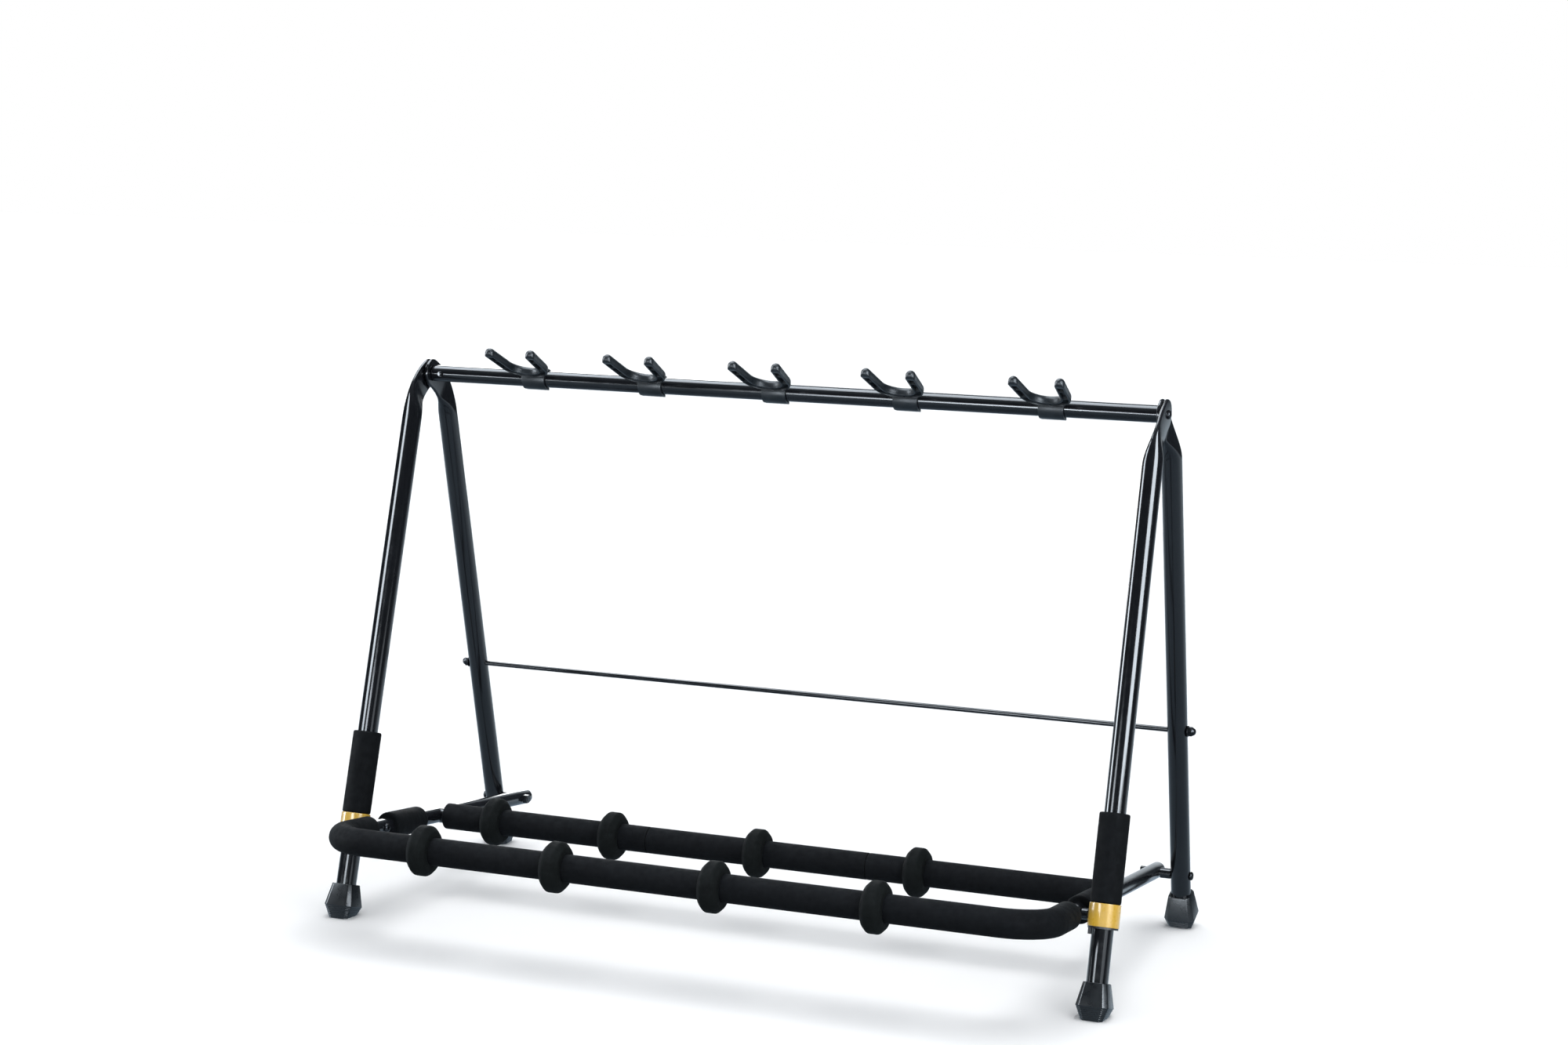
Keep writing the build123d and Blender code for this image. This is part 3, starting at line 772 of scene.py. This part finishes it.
def clip_outline():
    """Section of a clip as (angle, radius): the outer side from top to lip, the lip's end, the inner side."""
    outer = []
    for step in range(CLIP_STEPS + 1):
        angle = CLIP_TOP + (CLIP_LIP - CLIP_TOP) * step / CLIP_STEPS
        near_lip = max(0.0, 1 - (CLIP_LIP - angle) / LIP_SPAN)
        near_top = max(0.0, 1 - (angle - CLIP_TOP) / TOP_SPAN)
        outer.append((angle, CLIP_OUTER + LIP_THICKER * near_lip ** 1.5 - TOP_THINNER * near_top))
    lip = (CLIP_LIP + radians(4), CLIP_INNER + 2.6 * MM)
    return [*outer, lip, *[(angle, CLIP_INNER) for angle, _ in reversed(outer)]]


def close_clip_end(bm, start, count):
    """Fills a clip's side between its outer and inner line, from the vertex number start."""
    bm.verts.ensure_lookup_table()
    for i in range(CLIP_STEPS):
        quad = (start + i, start + i + 1, start + count - 2 - i, start + count - 1 - i)
        bm.faces.new([bm.verts[index] for index in quad])
    lip = start + CLIP_STEPS
    bm.faces.new([bm.verts[index] for index in (lip, lip + 1, lip + 2)])


def yoke_clip(number):
    """C-shaped clip round the top rail, with a thickened lip and softened edges."""
    node = f"yoke_{number}_clip"
    low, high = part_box(node)
    outline = clip_outline()
    middle_r = (CLIP_INNER + CLIP_OUTER) / 2
    places = [(low.x + along * MM, inset * MM) for along, inset in CLIP_EDGE]
    places += [(high.x - along * MM, inset * MM) for along, inset in reversed(CLIP_EDGE)]
    rings = []
    for x, inset in places:
        ring = []
        for angle, radius in outline:
            r = radius - inset if radius > middle_r else radius + inset
            ring.append(Vector((x, HINGE.y + r * cos(angle), HINGE.z + r * sin(angle))))
        rings.append(ring)
    bm = bridged(rings, caps=False)
    for ring_index in (0, len(rings) - 1):
        close_clip_end(bm, ring_index * len(outline), len(outline))
    bmesh.ops.recalc_face_normals(bm, faces=bm.faces)
    finish_mesh(f"{node}_shell", to_mesh(bm, node), YOKE_RUBBER,
                f"yoke_{number}", [node], sharp=40)


def yokes():
    for number in range(1, YOKE_COUNT + 1):
        yoke_pad(number)
        yoke_clip(number)


# ---- Dividers ----
def cut_sleeve(inner, outer, length, cut, soft):
    """Closed profile of a sleeve whose outer edges are cut off at 45 degrees, with the corners softened."""
    corners = [Vector(corner) for corner in ((inner, 0), (outer - cut, 0), (outer, cut), (outer, length / 2))]
    low = [(inner, 0.0)]
    for before, corner, after in zip(corners, corners[1:], corners[2:]):
        start = corner + (before - corner).normalized() * soft
        end = corner + (after - corner).normalized() * soft
        for share in (0, 0.33, 0.67, 1):
            low.append(start.lerp(corner, share).lerp(corner.lerp(end, share), share)[:])
    low.append((outer, cut + soft * 1.2))
    return low + [(radius, length - along) for radius, along in reversed(low)]


def divider(node):
    """A foam ring with cut edges, loose on the padded bar."""
    length, outer = size(node).x, size(node).z / 2
    start = middle(node) - X * (length / 2)
    profile = cut_sleeve(FOAM_R + 0.3 * MM, outer, length, cut=6 * MM, soft=1.8 * MM)
    mesh = to_mesh(hollow(profile, start, X, Vector((0, 1, 0)), count=64), node)
    piece = finish_mesh(f"{node}_foam", mesh, DIVIDER_FOAM, f"{node}_ring", [node], sharp=70)


def dividers():
    for row in ("front", "rear"):
        for number in range(1, 5):
            divider(f"{row}_divider_{number}")


# ---- Finish of the CAD nodes that stay ----
CAD_FINISH = {
    "cross_tube": PAINT,
    "tie_rod": PAINT,
    "hinge_washers": STEEL,
    "front_pivot_spacers": PAINT,
    "rear_pivot_spacers": PAINT,
    "rear_pivot_nuts": STEEL,
    "rail_plug_left": NYLON,
    "rail_plug_right": NYLON,
    "slide_bush_left": NYLON,
    "slide_bush_right": NYLON,
}


def finish_cad():
    for node, material in CAD_FINISH.items():
        mesh = frame["nodes"][node].data
        mesh.materials.clear()
        mesh.materials.append(material)


# ---- Stage, light and camera ----
def stage():
    bpy.ops.mesh.primitive_plane_add(size=60, location=(0, 0, 0))
    floor = bpy.context.object
    floor.name = "floor"
    material, tree, shader = new_material("pale_floor")
    tone = ramp(tree, noise(tree, 1.5, 3.0), (0.86, 0.865, 0.87), (0.9, 0.905, 0.91), 0.3, 0.7)
    tree.links.new(tone, shader.inputs["Base Color"])
    shader.inputs["Roughness"].default_value = 0.75
    shader.inputs["Specular IOR Level"].default_value = 0.0
    floor.data.materials.append(material)
    floor.visible_glossy = False


def area_light(name, place, target, width, height, radiance, colour=(1, 1, 1), diffuse=False):
    """A softbox of a given brightness, which either lights matt surfaces or draws streaks in the gloss."""
    data = bpy.data.lights.new(name, "AREA")
    data.shape = "RECTANGLE"
    data.size = width
    data.size_y = height
    data.energy = radiance * pi * width * height
    data.color = colour
    lamp = bpy.data.objects.new(name, data)
    bpy.context.scene.collection.objects.link(lamp)
    lamp.location = place
    lamp.rotation_euler = (Vector(target) - Vector(place)).to_track_quat("-Z", "Y").to_euler()
    lamp.visible_camera = False
    lamp.visible_diffuse = diffuse
    lamp.visible_glossy = not diffuse
    return lamp


def upright_softbox(name, azimuth, distance, height, width, length, radiance, **more):
    """A softbox that faces the rack from an azimuth, where 0 is its right, 90 its back and 180 its left."""
    angle = radians(azimuth)
    place = (distance * cos(angle), distance * sin(angle), height)
    return area_light(name, place, (0, 0, height), width, length, radiance, **more)


def flag(lamp, piece, state):
    """Keeps a softbox off a piece, or on it alone, as a flag does in a studio."""
    pieces = bpy.data.collections.new(f"{lamp.name}_{state.lower()}")
    pieces.objects.link(bpy.data.objects[piece])
    pieces.collection_objects[0].light_linking.link_state = state
    lamp.light_linking.receiver_collection = pieces


def overhead_light():
    """A broad round overhead light, even over the whole floor, which gives the soft shadows."""
    data = bpy.data.lights.new("overhead", "SUN")
    data.energy = 2.35
    data.angle = radians(56)
    lamp = bpy.data.objects.new("overhead", data)
    bpy.context.scene.collection.objects.link(lamp)
    lamp.rotation_euler = Vector((-0.06, -0.05, -1)).to_track_quat("-Z", "Y").to_euler()
    lamp.visible_glossy = False


def gradient(tree, source, *stops):
    """Maps a value through any number of (value, colour) stops."""
    node = tree.nodes.new("ShaderNodeValToRGB")
    elements = node.color_ramp.elements
    while len(elements) < len(stops):
        elements.new(0.5)
    for element, (place, colour) in zip(elements, stops):
        element.position = place
        element.color = (*colour, 1)
    tree.links.new(source, node.inputs["Fac"])
    return node.outputs["Color"]


def from_below(tree, direction):
    """Turns a direction's height, -1 to 1, into 0 to 1."""
    split = tree.nodes.new("ShaderNodeSeparateXYZ")
    tree.links.new(direction, split.inputs["Vector"])
    node = tree.nodes.new("ShaderNodeMath")
    node.operation = "MULTIPLY_ADD"
    node.inputs[1].default_value = 0.5
    node.inputs[2].default_value = 0.5
    tree.links.new(split.outputs["Z"], node.inputs[0])
    return node.outputs["Value"]


def toward(tree, direction, aim):
    """How nearly a direction points at aim, 1 being straight at it."""
    node = tree.nodes.new("ShaderNodeVectorMath")
    node.operation = "DOT_PRODUCT"
    node.inputs[1].default_value = Vector(aim).normalized()
    tree.links.new(direction, node.inputs[0])
    return node.outputs["Value"]


def mixed(tree, fac, first, second):
    """Shows the first background where fac is 0, and the second where it is 1."""
    mix = tree.nodes.new("ShaderNodeMixShader")
    tree.links.new(fac, mix.inputs["Fac"])
    tree.links.new(first, mix.inputs[1])
    tree.links.new(second, mix.inputs[2])
    return mix.outputs["Shader"]


def background(tree, colour):
    """A background of one colour, or of another node's colour."""
    node = tree.nodes.new("ShaderNodeBackground")
    if isinstance(colour, tuple):
        node.inputs["Color"].default_value = (*colour, 1)
    else:
        tree.links.new(colour, node.inputs["Color"])
    return node.outputs["Background"]


def surroundings():
    """White to the camera. Gloss sees a pale floor, a white backdrop and a dark room, matt an even light."""
    world = bpy.data.worlds.new("studio")
    bpy.context.scene.world = world
    world.use_nodes = True
    tree = world.node_tree
    direction = tree.nodes.new("ShaderNodeTexCoord").outputs["Generated"]
    height = from_below(tree, direction)
    even = gradient(tree, height, (0.55, (0.17, 0.2, 0.235)), (0.95, (0.62, 0.64, 0.66)))
    room = gradient(
        tree, height, (0.0, (0.2, 0.28, 0.36)), (0.3, (0.42, 0.54, 0.66)), (0.42, (0.9, 1.05, 1.18)),
        (0.485, (0.045, 0.055, 0.065)), (0.72, (0.045, 0.055, 0.065)), (1.0, (0.4, 0.45, 0.5)))
    behind = gradient(tree, toward(tree, direction, (-0.36, 0.93, 0.1)), (0.88, (0, 0, 0)), (0.95, (1, 1, 1)))
    path = tree.nodes.new("ShaderNodeLightPath")
    gloss = mixed(tree, behind, background(tree, room), background(tree, (0.85, 0.93, 1.0)))
    seen = mixed(tree, path.outputs["Is Glossy Ray"], background(tree, even), gloss)
    final = mixed(tree, path.outputs["Is Camera Ray"], seen, background(tree, (1.0, 1.0, 1.0)))
    tree.links.new(final, tree.nodes["World Output"].inputs["Surface"])


def lights():
    """Softboxes for the gloss, each for a streak on the legs, rail or collars, and a soft fill."""
    cool = (0.84, 0.92, 1.0)
    right = area_light("right_softbox", (1.75, -0.95, 1.27), (0.45, 0.05, 0.9), 1.1, 1.45, 19, cool)
    left = upright_softbox("left_softbox", 191, 2.3, 1.3, 0.8, 2.2, 18, colour=cool)
    left_leg = upright_softbox("left_leg_softbox", -139, 2.42, 1.3, 0.95, 1.3, 18, colour=cool)
    flag(right, "front_leg_left_tube", "EXCLUDE")
    flag(left, "front_leg_left_tube", "EXCLUDE")
    flag(left_leg, "front_leg_left_tube", "INCLUDE")
    upright_softbox("back_softbox", 125, 3.0, 1.3, 1.2, 2.2, 5)
    upright_softbox("right_low_softbox", -28.5, 2.0, 0.45, 0.9, 0.6, 2, colour=cool)
    area_light("rail_strip", (-0.78, 0.41, 2.45), (-0.78, 0.4, 0.6), 2.0, 1.55, 9, cool)
    area_light("low_front_strip", (0.95, -5.2, 0.31), (0.95, 0, 0.45), 4.7, 0.6, 22, cool)
    area_light("low_left_strip", (-3.35, -5.2, 0.31), (-3.35, 0, 0.45), 0.95, 0.6, 20, cool)
    upright_softbox("front_softbox", -102.5, 1.73, 0.6, 0.55, 0.45, 14, colour=cool)
    upright_softbox("fill", -35, 3.4, 1.4, 1.8, 1.8, 1.6, diffuse=True)


def camera():
    """The photograph's viewing angle. yaw turns about Z, pitch looks down and roll tilts the frame."""
    place = Vector((1.1871, HINGE.y - 3.0759, 0.9054))
    yaw, pitch, roll = 0.36533, 0.1262, 0.02625
    ahead = Vector((-sin(yaw) * cos(pitch), cos(yaw) * cos(pitch), -sin(pitch)))
    level = Vector((cos(yaw), sin(yaw), 0))
    upright = level.cross(ahead)
    right = level * cos(roll) + upright * sin(roll)
    up = upright * cos(roll) - level * sin(roll)
    data = bpy.data.cameras.new("camera")
    data.lens = 64.05
    data.sensor_width = 36
    data.clip_end = 200
    view = bpy.data.objects.new("camera", data)
    bpy.context.scene.collection.objects.link(view)
    rows = Matrix((right, up, -ahead)).transposed().to_4x4()
    view.matrix_world = Matrix.Translation(place) @ rows
    bpy.context.scene.camera = view


legs()
feet()
top_rail()
fasteners()
cradle_tube()
cradle_foam()
collars()
yokes()
dividers()
finish_cad()
stage()
surroundings()
overhead_light()
lights()
camera()
bpy.context.scene.view_settings.view_transform = "Standard"
bpy.context.view_layer.update()
